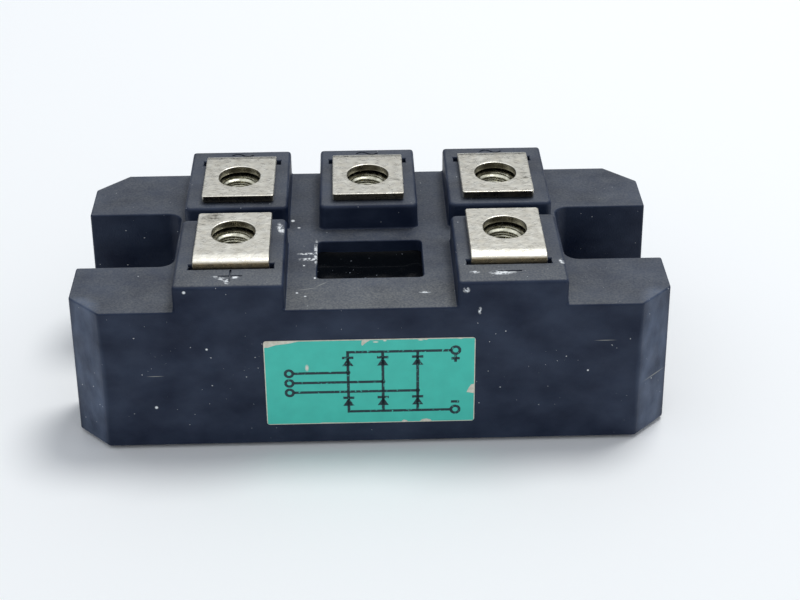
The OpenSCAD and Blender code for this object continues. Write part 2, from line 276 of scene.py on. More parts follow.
def skin_and_hollows(node, levels, mouth):
    """A CAD node's skin, closed over its openings at the given levels, and the form of its hollows."""
    skin = plain_form(node)
    slack = 0.02 * MM
    level_faces = [
        f for f in skin.faces if any(all(abs(v.co.z - z) < slack for v in f.verts) for z in levels)
    ]
    bmesh.ops.delete(skin, geom=level_faces, context="FACES_ONLY")
    bmesh.ops.delete(skin, geom=[e for e in skin.edges if not e.link_faces], context="EDGES")
    # What the outermost point reaches is the skin, and the rest is hollows
    ahead = [max(skin.verts, key=lambda v: v.co.x)]
    reached = set(ahead)
    while ahead:
        here = ahead.pop()
        near = {e.other_vert(here) for e in here.link_edges} - reached
        reached |= near
        ahead += near
    inside = [v not in reached for v in skin.verts]
    hollows = skin.copy()
    for bm, kept in ((skin, False), (hollows, True)):
        others = [v for v, inner in zip(bm.verts, inside) if inner != kept]
        bmesh.ops.delete(bm, geom=others, context="VERTS")
    flare(hollows, mouth)
    for bm in (skin, hollows):
        bmesh.ops.holes_fill(bm, edges=[e for e in bm.edges if e.is_boundary])
        bmesh.ops.recalc_face_normals(bm, faces=bm.faces)
    return skin, hollows


def flare(bm, radius):
    """Widens each open rim of a hollow by a round and carries it a little past its level."""
    rim = [e for e in bm.edges if e.is_boundary]
    corners = {v for e in rim for v in e.verts}
    half = max(v.co.z for v in corners) / 2
    start, apart = {}, {}
    for v in corners:
        # The faces look into the hollow, so the rim moves against them to grow wider
        walls = [e.link_faces[0].normal for e in v.link_edges if e.is_boundary]
        one, two = [-Vector((wall.x, wall.y, 0)).normalized() for wall in walls]
        apart[v] = (one + two) / max(1 + one.dot(two), 0.3)
        start[v] = v.co.copy()
    row = {v: v for v in corners}
    # The round in steps of degrees, and last the way past the level
    for turn, past in ((0, 0), (35, 0), (70, 0), (70, 0.1 * MM)):
        out = radius * (1 - math.cos(math.radians(turn))) + past * math.tan(math.radians(turn))
        up = radius * (math.sin(math.radians(turn)) - 1) + past
        after = {}
        for v in corners:
            place = start[v] + apart[v] * out + Vector((0, 0, up if start[v].z > half else -up))
            if turn:
                after[v] = bm.verts.new(place)
            else:
                v.co = place
                after[v] = v
        if turn:
            for e in rim:
                one, two = e.verts
                bm.faces.new((row[one], row[two], after[two], after[one]))
        row = after


def tube(bm, path, radius, sides=8):
    """Sweeps a round bar along a path that lies in one level plane, with round ends."""
    rings = []
    start, end = path[1] - path[0], path[-1] - path[-2]
    # A round end: how far out each ring lies and how wide it is, as shares of the radius
    cap = ((0.98, 0.2), (0.7, 0.71))
    steps = [(path[0] - start.normalized() * radius * out, share) for out, share in cap]
    steps += [(p, 1) for p in path]
    steps += [(path[-1] + end.normalized() * radius * out, share) for out, share in reversed(cap)]
    for i, (point, share) in enumerate(steps):
        ahead = steps[min(i + 1, len(steps) - 1)][0]
        behind = steps[max(i - 1, 0)][0]
        along = (ahead - behind).normalized()
        across = along.cross(Vector((0, 0, 1)))
        ring = []
        for k in range(sides):
            turn = 2 * math.pi * k / sides
            offset = across * math.cos(turn) + Vector((0, 0, 1)) * math.sin(turn)
            ring.append(bm.verts.new(point + offset * radius * share))
        rings.append(ring)
    for one, two in zip(rings, rings[1:]):
        for k in range(sides):
            bm.faces.new((one[k], one[(k + 1) % sides], two[(k + 1) % sides], two[k]))
    bm.faces.new(rings[0])
    bm.faces.new(reversed(rings[-1]))


def carved(mesh, cutter):
    """The mesh with the cutter's form taken out of it."""
    tool = bpy.data.objects.new("tool", cutter)
    bpy.context.scene.collection.objects.link(tool)
    settings = {"operation": "DIFFERENCE", "solver": "EXACT", "object": tool}
    made = with_modifiers(mesh, ("BOOLEAN", settings))
    bpy.data.objects.remove(tool)
    return made


# ---- Materials ----


def add(tree, kind, inputs=None, out=0, **settings):
    """Adds a node with its settings, fills or links its inputs, and returns one of its outputs."""
    node = tree.nodes.new(kind)
    for key, value in settings.items():
        setattr(node, key, value)
    for key, value in (inputs or {}).items():
        if isinstance(value, bpy.types.NodeSocket):
            tree.links.new(value, node.inputs[key])
        else:
            node.inputs[key].default_value = value
    return node.outputs[out] if len(node.outputs) else None


def finish(name, surface):
    """A material whose shader takes what surface(tree, place) gives for a place in the frame."""
    made = bpy.data.materials.new(name)
    made.use_nodes = True
    tree = made.node_tree
    tree.nodes.clear()
    place = add(tree, "ShaderNodeTexCoord", out="Object")
    shader = add(tree, "ShaderNodeBsdfPrincipled", surface(tree, place))
    add(tree, "ShaderNodeOutputMaterial", {"Surface": shader})
    return made


def grain(tree, place, size_mm, low, high, detail=3.0, stretch=(1, 1, 1), reach=(0.3, 0.7)):
    """A noise of the given real grain size: from low to high where the noise goes over its reach."""
    scaled = add(tree, "ShaderNodeVectorMath", {0: place, 1: stretch}, operation="MULTIPLY")
    texture = {"Vector": scaled, "Scale": 1 / (size_mm * MM), "Detail": detail}
    noise = add(tree, "ShaderNodeTexNoise", texture)
    return add(tree, "ShaderNodeMapRange", {0: noise, 1: reach[0], 2: reach[1], 3: low, 4: high})


def layered(tree, ground, *layers):
    """A ground colour under some more colours, given as (share, colour), each laid over the last."""
    for share, laid in layers:
        ground = add(tree, "ShaderNodeMix", {0: share, 6: ground, 7: laid}, out=2, data_type="RGBA")
    return ground


def facing(tree, axis, low, high, most=1.0):
    """Rises from 0 to most where the surface's normal goes from low to high along an axis."""
    normal = add(tree, "ShaderNodeNewGeometry", out="Normal")
    along = add(tree, "ShaderNodeSeparateXYZ", {0: normal}, out=axis)
    return add(tree, "ShaderNodeMapRange", {0: along, 1: low, 2: high, 4: most})


def spots(tree, place, edge, *places):
    """1 inside some soft-edged ellipsoids, given in mm as (centre, half sizes, turn in degrees)."""
    found = 0.0
    for centre, half, turn in places:
        middle = tuple(c * MM for c in centre)
        moved = add(tree, "ShaderNodeVectorMath", {0: place, 1: middle}, operation="SUBTRACT")
        moved = add(tree, "ShaderNodeVectorRotate", {"Vector": moved, "Angle": math.radians(-turn)})
        share = tuple(1 / (h * MM) for h in half)
        scaled = add(tree, "ShaderNodeVectorMath", {0: moved, 1: share}, operation="MULTIPLY")
        far = add(tree, "ShaderNodeVectorMath", {0: scaled}, out="Value", operation="LENGTH")
        inside = add(tree, "ShaderNodeMapRange", {0: far, 1: 1 + edge, 2: 1 - edge})
        found = add(tree, "ShaderNodeMath", {0: found, 1: inside}, operation="MAXIMUM")
    return found


def moulded_polyester():
    """Glass-filled polyester, compression moulded: near black with a navy cast, matt, with dust and a
    painted sheen on top.
    """
    looks = bpy.context.scene.rectifier_case
    colours = (looks.plastic, looks.haze, looks.dust_sheen_colour, looks.scuff)
    plastic, haze, dust_sheen_colour, scuff = [tuple(c) for c in colours]
    # The levels of the blocks' tops and of the roof, and where the front wall stands, in mm
    top, roof, wall = 24.9, 21.2, -19.75

    def surface(tree, place):
        # Dust and a painted sheen lie on what looks up, more of both along the front, in clouds and in
        # fine grains
        dust_and_sheen = grain(tree, place, 3, 0.13, 0.25, 5)
        near = spots(tree, place, 0.5, ((0, -18.5, 23), (27, 7, 5), 0))
        dust_and_sheen = add(tree, "ShaderNodeMath", {0: near, 1: 0.2, 2: dust_and_sheen}, operation="MULTIPLY_ADD")
        for share in (grain(tree, place, 0.28, 0.6, 1.4, 2), facing(tree, "Z", 0.75, 0.97)):
            dust_and_sheen = add(tree, "ShaderNodeMath", {0: dust_and_sheen, 1: share}, operation="MULTIPLY")
        # A thin haze of handling on the walls, and patches that make the corner chamfers paler
        smears = grain(tree, place, 5, 0.0, 0.13, 6, (0.7, 1, 1))
        chamfers = spots(
            tree, place, 0.2, ((-38, -18, 11), (3, 3, 16), 0), ((38, -18, 11), (3, 3, 16), 0)
        )
        worn = grain(tree, place, 2.2, 0.12, 0.42, 5, (1, 1, 0.6))
        chamfers = add(tree, "ShaderNodeMath", {0: chamfers, 1: worn}, operation="MULTIPLY")
        # Loose flecks, drawn about 0.15 mm wide so that they show
        flecks = grain(tree, place, 0.4, 0, 0.8, 1, reach=(0.785, 0.81))
        # Pale paint and scrapes on the front edges, beside the window and on the walls
        chips = grain(tree, place, 0.45, -0.7, 2.2, 4)
        paint = spots(
            tree, place, 0.5,
            ((-19.2, -17.6, top), (1.0, 0.28, 0.6), -30), ((-18.5, -18.3, top), (0.35, 0.5, 0.6), 0),
            ((-17.6, -17.2, top), (0.45, 0.3, 0.6), 0), ((-12.0, -4.3, top), (0.35, 1.2, 0.6), 10),
            ((17.1, -17.3, top), (1.3, 0.45, 0.6), 0), ((13.5, -17.1, top), (0.5, 0.25, 0.6), 0),
            ((25.1, -14.6, top), (0.3, 0.5, 0.6), 0), ((-7.9, -6.4, roof), (1.4, 0.3, 0.5), 0),
            ((-8.3, -4.9, roof), (1.2, 0.22, 0.5), 0), ((-7.3, -4.6, roof), (0.25, 2.6, 0.5), 0),
            ((7.1, -15.7, roof), (0.6, 0.2, 0.5), 0), ((12.3, wall, 23.7), (0.35, 0.6, 0.35), 0),
            ((14.1, wall, 20.6), (0.2, 0.6, 0.4), 0),
        )
        paint = add(tree, "ShaderNodeMath", {0: paint, 1: chips}, operation="MULTIPLY")
        specks = spots(
            tree, place, 0.3,
            ((-28.8, wall, 6.6), (0.2, 0.6, 0.2), 0), ((-24.0, wall, 24.1), (0.2, 0.6, 0.2), 0),
            ((28.6, wall, 11.1), (0.12, 0.6, 0.12), 0), ((-21.6, wall, 15.5), (0.14, 0.6, 0.14), 0),
            ((-9.7, -15.3, roof), (0.16, 0.16, 0.3), 0), ((-8.6, -16.2, roof), (0.16, 0.12, 0.3), 0),
            ((-8.9, -8.1, roof), (0.14, 0.14, 0.3), 0), ((-7.4, -11.5, roof), (0.14, 0.2, 0.3), 0),
            ((-9.8, 2.6, roof), (0.2, 0.14, 0.3), 0), ((-10.7, 4.7, roof), (0.24, 0.3, 0.3), 0),
        )
        scratches = spots(
            tree, place, 0.6,
            ((-8.4, -14.35, roof), (1.0, 0.07, 0.3), 12), ((-6.5, -13.2, roof), (0.9, 0.07, 0.3), 40),
            ((-28.6, wall, 11.5), (0.8, 0.5, 0.05), 0), ((30.7, wall, 15.7), (1.0, 0.5, 0.05), 0),
            ((38.3, -17.5, 8.6), (1.8, 1.8, 0.08), 0),
        )
        # The moulded skin: fine pits about 0.2 mm apart over a slow orange peel
        pits = {"Height": grain(tree, place, 0.22, 0, 1, 2), "Distance": 0.012 * MM}
        peel = {"Height": grain(tree, place, 2.5, 0, 1, 2), "Distance": 0.012 * MM}
        peel["Normal"] = add(tree, "ShaderNodeBump", pits)
        return {
            # The dust colour lays both dust and painted sheen on the upper faces
            "Base Color": layered(
                tree, plastic, (smears, haze), (chamfers, haze), (dust_and_sheen, dust_sheen_colour),
                (flecks, scuff), (scratches, dust_sheen_colour), (specks, scuff), (paint, scuff),
            ),
            "Roughness": grain(tree, place, 3, 0.42, 0.58, 4),
            "IOR": 1.5,
            "Specular IOR Level": 0.22,
            "Normal": add(tree, "ShaderNodeBump", peel),
        }

    return finish("moulded_polyester_sheened_dust", surface)


def dull_nickel():
    """Nickel plating on punched copper strip: soft grey shine, fine scratches, painted shade on faces
    that look to the front, stains.
    """
    looks = bpy.context.scene.rectifier_terminals
    plating, tarnish, copper_and_shade = [tuple(c) for c in (looks.plating, looks.tarnish, looks.copper_and_shade)]
    # The level of the strips' tops, in mm
    top = 26.1

    def surface(tree, place):
        # Faces that look to the front, the cut ends among them, get a painted shade of dark copper; on
        # the bent legs there that painted shade is eased to brown
        cut = facing(tree, "Y", -0.6, -0.9, 0.85)
        legs = spots(tree, place, 0.4, ((0, -15.0, 25.2), (40, 0.5, 0.6), 0))
        legs = {0: legs, 1: grain(tree, place, 0.7, 0.4, 1)}
        legs = add(tree, "ShaderNodeMath", legs, operation="MULTIPLY")
        stain = spots(
            tree, place, 0.5,
            ((-21.2, -3.0, top), (1.3, 1.0, 0.6), 0), ((-22.4, -4.2, top), (0.3, 0.13, 0.5), 0),
            ((-22.3, -5.0, top), (0.3, 0.12, 0.5), 0), ((4.1, 7.5, top), (0.45, 0.3, 0.5), 0),
            ((22.2, 8.8, top), (0.6, 0.09, 0.5), -5), ((22.4, 7.3, top), (0.4, 0.3, 0.5), 0),
        )
        stain = {0: stain, 1: grain(tree, place, 0.5, 0.1, 0.9)}
        stain = add(tree, "ShaderNodeMath", stain, operation="MULTIPLY")
        pits = grain(tree, place, 0.35, 0, 0.5, 3, reach=(0.68, 0.78))
        # Scratches along the strips, over shallow dents about as wide as the pits
        scratches = grain(tree, place, 0.16, 0, 1, 2, (1, 0.08, 0.5))
        scratches = {"Height": scratches, "Distance": 0.006 * MM, "Strength": 0.6}
        dents = {"Height": grain(tree, place, 0.35, 0, 1, 3), "Distance": 0.016 * MM}
        dents["Normal"] = add(tree, "ShaderNodeBump", scratches)
        return {
            "Base Color": layered(
                tree, plating, (grain(tree, place, 1.3, 0, 0.3, 6), tarnish), (cut, copper_and_shade),
                (legs, tarnish), (stain, copper_and_shade), (pits, copper_and_shade),
            ),
            "Metallic": 1.0,
            "Roughness": grain(tree, place, 0.9, 0.22, 0.42, 4),
            "Normal": add(tree, "ShaderNodeBump", dents),
        }

    return finish("dull_nickel_plating", surface)


def plated_steel():
    """Plated steel nuts with a cut thread: bright on the crests, with brownish patches."""
    looks = bpy.context.scene.rectifier_nuts
    steel, grime = tuple(looks.steel), tuple(looks.grime)

    def surface(tree, place):
        skin = {"Height": grain(tree, place, 0.15, 0, 1), "Distance": 0.008 * MM, "Strength": 0.5}
        return {
            "Base Color": layered(tree, steel, (grain(tree, place, 0.7, 0, 0.7, 4), grime)),
            "Metallic": 1.0,
            "Roughness": grain(tree, place, 0.5, 0.16, 0.34),
            "Normal": add(tree, "ShaderNodeBump", skin),
        }

    return finish("plated_steel_thread_cut", surface)


def cast_epoxy():
    """Black epoxy, poured and set: a liquid shine that waves a little, with a few pale specks painted
    on it as glints.
    """
    looks = bpy.context.scene.rectifier_potting
    resin, glint_speck = tuple(looks.resin), tuple(looks.glint_speck)

    def surface(tree, place):
        # Pale specks painted as glints of light
        glint_specks = grain(tree, place, 0.6, 0, 0.7, 1, reach=(0.74, 0.78))
        skin = {"Height": grain(tree, place, 3, 0, 1, 1), "Distance": 0.05 * MM, "Strength": 0.4}
        return {
            "Base Color": layered(tree, resin, (glint_specks, glint_speck)),
            "Roughness": grain(tree, place, 1.5, 0.05, 0.12, 4),
            "IOR": 1.55,
            "Normal": add(tree, "ShaderNodeBump", skin),
        }

    return finish("cast_epoxy_black", surface)


def printed_film():
    """Teal print on a paper film: flat colour with a weak satin shine, a little rubbed."""
    looks = bpy.context.scene.rectifier_label
    film, worn, paper = tuple(looks.film), tuple(looks.worn), tuple(looks.paper)
    # Where the label stands on the front wall, in mm
    wall = -19.8

    def surface(tree, place):
        scrapes = spots(
            tree, place, 0.5,
            ((-8.6, wall, 12.4), (0.2, 1, 0.4), 0), ((0.5, wall, 16.2), (0.3, 1, 0.1), 0),
            ((1.7, wall, 16.4), (0.2, 1, 0.12), 0), ((6.4, wall, 16.4), (0.3, 1, 0.1), 0),
        )
        skin = {"Height": grain(tree, place, 0.6, 0, 1, 3), "Distance": 0.01 * MM, "Strength": 0.5}
        rubbed = (grain(tree, place, 2.2, 0, 0.4, 5), worn)
        return {
            "Base Color": layered(tree, film, rubbed, (scrapes, paper)),
            "Roughness": grain(tree, place, 1.2, 0.38, 0.5),
            "IOR": 1.45,
            "Normal": add(tree, "ShaderNodeBump", skin),
        }

    return finish("printed_paper_film", surface)


def screen_ink():
    """Dark slate ink, screen printed: thin, slightly uneven, with pale specks where it is worn."""
    looks = bpy.context.scene.rectifier_label
    ink, film = tuple(looks.ink), tuple(looks.film)

    def surface(tree, place):
        specks = grain(tree, place, 0.35, -2.6, 1.0, 3)
        return {"Base Color": layered(tree, ink, (specks, film)), "Roughness": 0.45, "IOR": 1.45}

    return finish("screen_printed_ink", surface)


def bare_paper():
    """Uncoated paper under the print, with short fibres and grey dirt."""
    looks = bpy.context.scene.rectifier_label
    paper, dirt = tuple(looks.paper), tuple(looks.dirt)

    def surface(tree, place):
        skin = {"Height": grain(tree, place, 0.12, 0, 1), "Distance": 0.02 * MM, "Strength": 0.6}
        return {
            "Base Color": layered(tree, paper, (grain(tree, place, 0.4, 0, 0.6, 4), dirt)),
            "Roughness": 0.8,
            "IOR": 1.45,
            "Normal": add(tree, "ShaderNodeBump", skin),
        }

    return finish("torn_label_paper", surface)


def inner_finish(name, code, second, grain_mm, metallic, low, high):
    """A plain finish for a piece inside the case: two tones, a grain and a roughness range."""

    def surface(tree, place):
        fine = grain(tree, place, grain_mm / 3, 0, 1)
        skin = {"Height": fine, "Distance": 0.01 * MM, "Strength": 0.4}
        clouds = (grain(tree, place, grain_mm, 0, 1, 4), linear(second))
        return {
            "Base Color": layered(tree, linear(code), clouds),
            "Metallic": metallic,
            "Roughness": grain(tree, place, grain_mm / 2, low, high),
            "Normal": add(tree, "ShaderNodeBump", skin),
        }

    return finish(name, surface)


# ---- Operators: one for each piece or group of like pieces ----


class CasePiece(bpy.types.Operator):
    """Builds the moulded case with soft edges and its polarity marks"""

    bl_idname = "rectifier.case"
    bl_label = "Moulded case"

    def execute(self, context):
        looks = context.scene.rectifier_case
        # Edges this close to a level are at it, and blocks stand up by more than a step
        close, step = 0.1 * MM, 1 * MM
        foot, top = [corner.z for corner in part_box("case")]
        roof = max(v.co.z for v in frame["nodes"]["case"].data.vertices if v.co.z < top - step)
        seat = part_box("base_plate")[1].z
        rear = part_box("case")[1].y - step
        skin, hollows = skin_and_hollows("case", (foot, seat, roof, top), looks.mouth)

        def radius_at(edge, convex):
            ends = [v.co.z for v in edge.verts]
            if max(ends) < seat + close:
                return looks.mouth if max(ends) < foot + close else 0.0
            if not convex:
                return looks.root
            if min(v.co.y for v in edge.verts) > rear:
                return looks.mouth
            on_block = min(ends) > roof - close and max(ends) > roof + step
            return looks.block_edge if on_block else looks.edge

        mesh = carved(softened(skin, "case", radius_at, 4), mesh_from(hollows, "hollows"))
        radius = looks.mark_width / 2
        for path in polarity_marks(top + radius - looks.mark_depth):
            mark = bmesh.new()
            tube(mark, path, radius)
            mesh = carved(mesh, mesh_of(mark, "mark"))
        piece("case_moulding", "case_plastic", moulded_polyester(), shaded(mesh), "case")
        return {"FINISHED"}


def polarity_marks(level):
    """Paths of the plus, the minus and the three mains signs, on the tops of the blocks."""
    bar, wave, steps = 3.0 * MM, 0.4 * MM, 16
    front, rear = -16.9 * MM, 18.4 * MM
    plus = Vector((-18.2 * MM, front, level))
    minus = Vector((18.1 * MM, front, level))
    for middle, ways in ((plus, ((1, 0), (0, 1))), (minus, ((1, 0),))):
        for way in ways:
            half = Vector((*way, 0)) * bar / 2
            yield [middle - half, middle, middle + half]
    for x in (-18.2, 0.0, 18.2):
        shares = [k / steps for k in range(steps + 1)]
        yield [
            Vector((x * MM + bar * (t - 0.5), rear + wave * math.sin(2 * math.pi * t), level))
            for t in shares
        ]


class TerminalPieces(bpy.types.Operator):
    """Builds the five terminals with the rolled edges of punched strip"""

    bl_idname = "rectifier.terminals"
    bl_label = "Terminals"

    def execute(self, context):
        looks = context.scene.rectifier_terminals
        nickel = dull_nickel()
        for node in MAINS + SIDES:
            form = plain_form(node)
            pressed_bend(form, node, -1 if node in SIDES else 1, looks)
            mesh = softened(form, node, lambda edge, convex: looks.edge)
            piece(node + "_strip", "terminal_plating", nickel, shaded(mesh), node)
        return {"FINISHED"}


def pressed_bend(bm, node, side, looks):
    """Shapes a strip's upper bend as its tool leaves it: a crease, a shallow slope and a tight corner.

    The side is 1 where the leg stands to the rear of the strip, and -1 where it stands to the front.
    """
    low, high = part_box(node)
    leg = high.y if side > 0 else low.y
    arm = [f for f in bm.faces if min(v.co.z for v in f.verts) > high.z - 3 * looks.crease]
    parts = {*arm, *[e for f in arm for e in f.edges], *[v for f in arm for v in f.verts]}
    crease = Vector((0, leg - side * looks.crease, 0))
    slack = 1e-7
    bmesh.ops.bisect_plane(
        bm, geom=list(parts), dist=slack, plane_co=crease, plane_no=Vector((0, 1, 0))
    )
    # The corner is squared from this share of the bend outwards, on a curve of this power
    inner, power = 0.5, 4
    # Points nearer than this to the bend's middle sink by less
    shallow = 0.3 * looks.bend
    for v in bm.verts:
        inward = side * (leg - v.co.y)
        down = high.z - v.co.z
        if inward > looks.crease + slack or down > looks.bend:
            continue
        # Outer points of the round move out towards its corner
        across, up = max(looks.bend - inward, 0), looks.bend - down
        far = math.hypot(across, up)
        if across and far > inner * looks.bend:
            squarer = ((across / far) ** power + (up / far) ** power) ** (-1 / power)
            share = (far / looks.bend - inner) / (1 - inner)
            squarer = 1 + (squarer - 1) * min(max(share, 0), 1)
            v.co.y = leg - side * (looks.bend - across * squarer)
            up *= squarer
        v.co.z = high.z - looks.bend + up
        slope = looks.sink * (1 - side * (leg - v.co.y) / looks.crease)
        v.co.z -= slope * min(up / shallow, 1)


class NutPieces(bpy.types.Operator):
    """Builds the five captive nuts with their cut threads"""

    bl_idname = "rectifier.nuts"
    bl_label = "Threaded nuts"

    def execute(self, context):
        looks = context.scene.rectifier_nuts
        steel = plated_steel()
        low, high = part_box(NUTS[0])
        middle = (low + high) / 2
        plug = thread_plug(looks, middle, low.z, high.z)
        first = shaded(carved(mesh_from(plain_form(NUTS[0]), "nut"), plug))
        for node in NUTS:
            mesh = first.copy()
            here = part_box(node)
            mesh.transform(Matrix.Translation((here[0] + here[1]) / 2 - middle))
            piece(node + "_threaded", "nut_steel", steel, mesh, node)
        return {"FINISHED"}


def thread_plug(looks, middle, bottom, top):
    """A closed plug with the outline of the thread, to cut it out of a nut."""
    sides, rows = 72, 72
    # How far the plug stands out at both ends
    reach = 0.3 * MM
    depth = looks.groove - looks.crest
    # The profile along one pitch: a flat crest, two straight flanks and a flat groove
    flank, groove = 3.2, 1.3
    bm = bmesh.new()
    rings = []
    for j in range(rows + 1):
        z = bottom - reach + (top - bottom + 2 * reach) * j / rows
        inset = min(z - bottom, top - z)
        mouth = looks.crest + looks.mouth - max(inset, 0)
        ring = []
        for i in range(sides):
            turn = 2 * math.pi * i / sides
            phase = ((z - bottom) / looks.pitch - i / sides) % 1.0
            rise = min(max(groove - flank * abs(phase - 0.5), 0), 1)
            radius = max(looks.crest + depth * rise, mouth)
            x, y = middle.x + radius * math.cos(turn), middle.y + radius * math.sin(turn)
            ring.append(bm.verts.new((x, y, z)))
        rings.append(ring)
    for one, two in zip(rings, rings[1:]):
        for i in range(sides):
            bm.faces.new((one[i], one[(i + 1) % sides], two[(i + 1) % sides], two[i]))
    bm.faces.new(reversed(rings[0]))
    bm.faces.new(rings[-1])
    bmesh.ops.recalc_face_normals(bm, faces=bm.faces)
    return mesh_from(bm, "plug")


class PottingPiece(bpy.types.Operator):
    """Builds the resin's face in the filling window, which climbs a little up the walls"""

    bl_idname = "rectifier.potting"
    bl_label = "Potting resin"

    def execute(self, context):
        looks = context.scene.rectifier_potting
        epoxy = cast_epoxy()
        frame["nodes"]["resin"].data.materials.clear()
        frame["nodes"]["resin"].data.materials.append(epoxy)
        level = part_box("resin")[1].z
        low, high = window_box(level)
        corner, skirt_depth = 0.7 * MM, 0.2 * MM
        # Where two walls meet, the climb stays under this share of the two together
        most = 1.25
        across, along = 56, 40
        bm = bmesh.new()
        grid = []
        for j in range(along + 1):
            row = []
            for i in range(across + 1):
                u, v = 2 * i / across - 1, 2 * j / along - 1
                # Rows crowd towards the walls, where the face bends
                u, v = math.sin(u * math.pi / 2), math.sin(v * math.pi / 2)
                x = (low.x + high.x) / 2 + u * (high.x - low.x) / 2
                y = (low.y + high.y) / 2 + v * (high.y - low.y) / 2
                x, y = within_corner(x, y, low, high, corner)
                wall = min(x - low.x, high.x - x, y - low.y, high.y - y)
                ends = math.exp(-(x - low.x) / looks.reach) + math.exp(-(high.x - x) / looks.reach)
                sides = math.exp(-(y - low.y) / looks.reach) + math.exp(-(high.y - y) / looks.reach)
                rise = looks.climb * min(ends + sides, most) if wall >= 0 else looks.climb
                row.append(bm.verts.new((x, y, level + rise)))
            grid.append(row)
        for j in range(along):
            for i in range(across):
                bm.faces.new((grid[j][i], grid[j][i + 1], grid[j + 1][i + 1], grid[j + 1][i]))
        skirt = bmesh.ops.extrude_edge_only(bm, edges=[e for e in bm.edges if e.is_boundary])
        for v in skirt["geom"]:
            if isinstance(v, bmesh.types.BMVert):
                v.co.z = level - skirt_depth
        bmesh.ops.holes_fill(bm, edges=[e for e in bm.edges if e.is_boundary])
        piece("potting_face", "resin", epoxy, mesh_of(bm, "potting_face", 60))
        return {"FINISHED"}


def window_box(level):
    """The window's walls, found as the part of the resin that stands highest."""
    gap = 0.01 * MM
    points = [v.co for v in frame["nodes"]["resin"].data.vertices if v.co.z > level - gap]
    low = Vector((min(p.x for p in points) + gap, min(p.y for p in points) + gap))
    high = Vector((max(p.x for p in points) - gap, max(p.y for p in points) - gap))
    return low, high


def within_corner(x, y, low, high, corner):
    """A point of the window's rectangle, pulled inside its round corners."""
    cx = min(max(x, low.x + corner), high.x - corner)
    cy = min(max(y, low.y + corner), high.y - corner)
    dx, dy = x - cx, y - cy
    far = max(abs(dx), abs(dy))
    if dx and dy and far:
        share = far / math.hypot(dx, dy)
        return cx + dx * share, cy + dy * share
    return x, y


class LabelPiece(bpy.types.Operator):
    """Builds the worn paper label with a plain circuit diagram printed on it"""

    bl_idname = "rectifier.label"
    bl_label = "Label"

    def execute(self, context):
        looks = context.scene.rectifier_label
        low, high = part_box("label")
        width = (high.x - low.x) / MM
        tall = (high.z - low.z) / MM
        thickness = 0.1 * MM
        lean = (high.y - low.y - thickness) / (high.z - low.z)

        def lay(bm, points, depth, thick):
            """One flat shape on the wall, which leans back as it rises."""
            points = list(points)
            front, back = [], []
            for x, z in points:
                y = low.y + z * MM * lean
                front.append(bm.verts.new((low.x + x * MM, y + depth * MM, low.z + z * MM)))
                back.append(bm.verts.new((low.x + x * MM, y + (depth + thick) * MM, low.z + z * MM)))
            n = len(points)
            bm.faces.new(front)
            bm.faces.new(reversed(back))
            for i in range(n):
                bm.faces.new((front[i], front[(i + 1) % n], back[(i + 1) % n], back[i]))

        paper = bmesh.new()
        lay(paper, sheet_outline(width, tall), *PAPER_LAYER)
        piece("label_paper", "label_film", bare_paper(), mesh_of(paper, "label_paper"), "label")
        film = bmesh.new()
        lay(film, torn_outline(width, tall, looks.rim / MM), *PRINT_LAYER)
        piece("label_print", "label_film", printed_film(), mesh_of(film, "label_print"))
        ink = bmesh.new()
        for shape in circuit_diagram(width, tall, looks.line / MM):
            lay(ink, shape, *INK_LAYER)
        piece("label_ink", "label_film", screen_ink(), mesh_of(ink, "label_ink"))
        return {"FINISHED"}


def sheet_outline(width, tall):
    """The paper's outline, with small round corners."""
    r, steps = 0.4, 4
    right, top = width - r, tall - r
    for x, z, start in ((right, r, -90), (right, top, 0), (r, top, 90), (r, r, 180)):
        for k in range(steps + 1):
            turn = math.radians(start + 90 / steps * k)
            yield x + r * math.cos(turn), z + r * math.sin(turn)


def torn_outline(width, tall, rim):
    """The print's outline, which is torn back from the paper's edge in places."""
    right, top = width - rim, tall - rim
    return [
        (rim, rim), (7.0, rim), (7.4, rim + 0.08), (11.0, rim),
        (18.0, rim), (18.3, 0.4), (18.7, 0.3), (18.9, rim),
        (20.5, rim), (20.8, 0.42), (21.4, 0.5), (21.9, 0.35), (22.1, rim), (right, rim),
        (right, 4.4), (26.7, 4.6), (27.0, 5.3), (27.3, 5.8), (right, 5.9),
        (right, top), (26.2, top), (25.9, top - 0.1), (25.4, top),
        (21.6, top), (21.3, top - 0.16), (20.9, top),
        (15.3, top), (14.0, top), (13.4, top - 0.4), (12.95, top - 0.85), (12.8, top - 0.6),
        (12.9, top), (4.6, top), (3.3, top - 0.3), (1.6, top - 0.5), (0.6, top - 0.85),
        (rim, top - 0.85),
    ]


def stroke(points, width):
    """A printed line of even width along some points, as one closed outline with square ends."""
    half = width / 2
    left, right = [], []
    for i, point in enumerate(points):
        before = points[max(i - 1, 0)]
        after = points[min(i + 1, len(points) - 1)]
        along = Vector((after[0] - before[0], after[1] - before[1])).normalized()
        side = Vector((-along.y, along.x)) * half
        if 0 < i < len(points) - 1:
            one = Vector((point[0] - before[0], point[1] - before[1])).normalized()
            side /= max(one.dot(along), 0.5)
        left.append((point[0] + side.x, point[1] + side.y))
        right.append((point[0] - side.x, point[1] - side.y))
    return right + left[::-1]


def ring(x, y, radius, width, sides=20):
    """A printed ring, as two half rings."""
    for start in (0, math.pi):
        turns = [start + math.pi * k / (sides // 2) for k in range(sides // 2 + 1)]
        yield stroke([(x + radius * math.cos(t), y + radius * math.sin(t)) for t in turns], width)


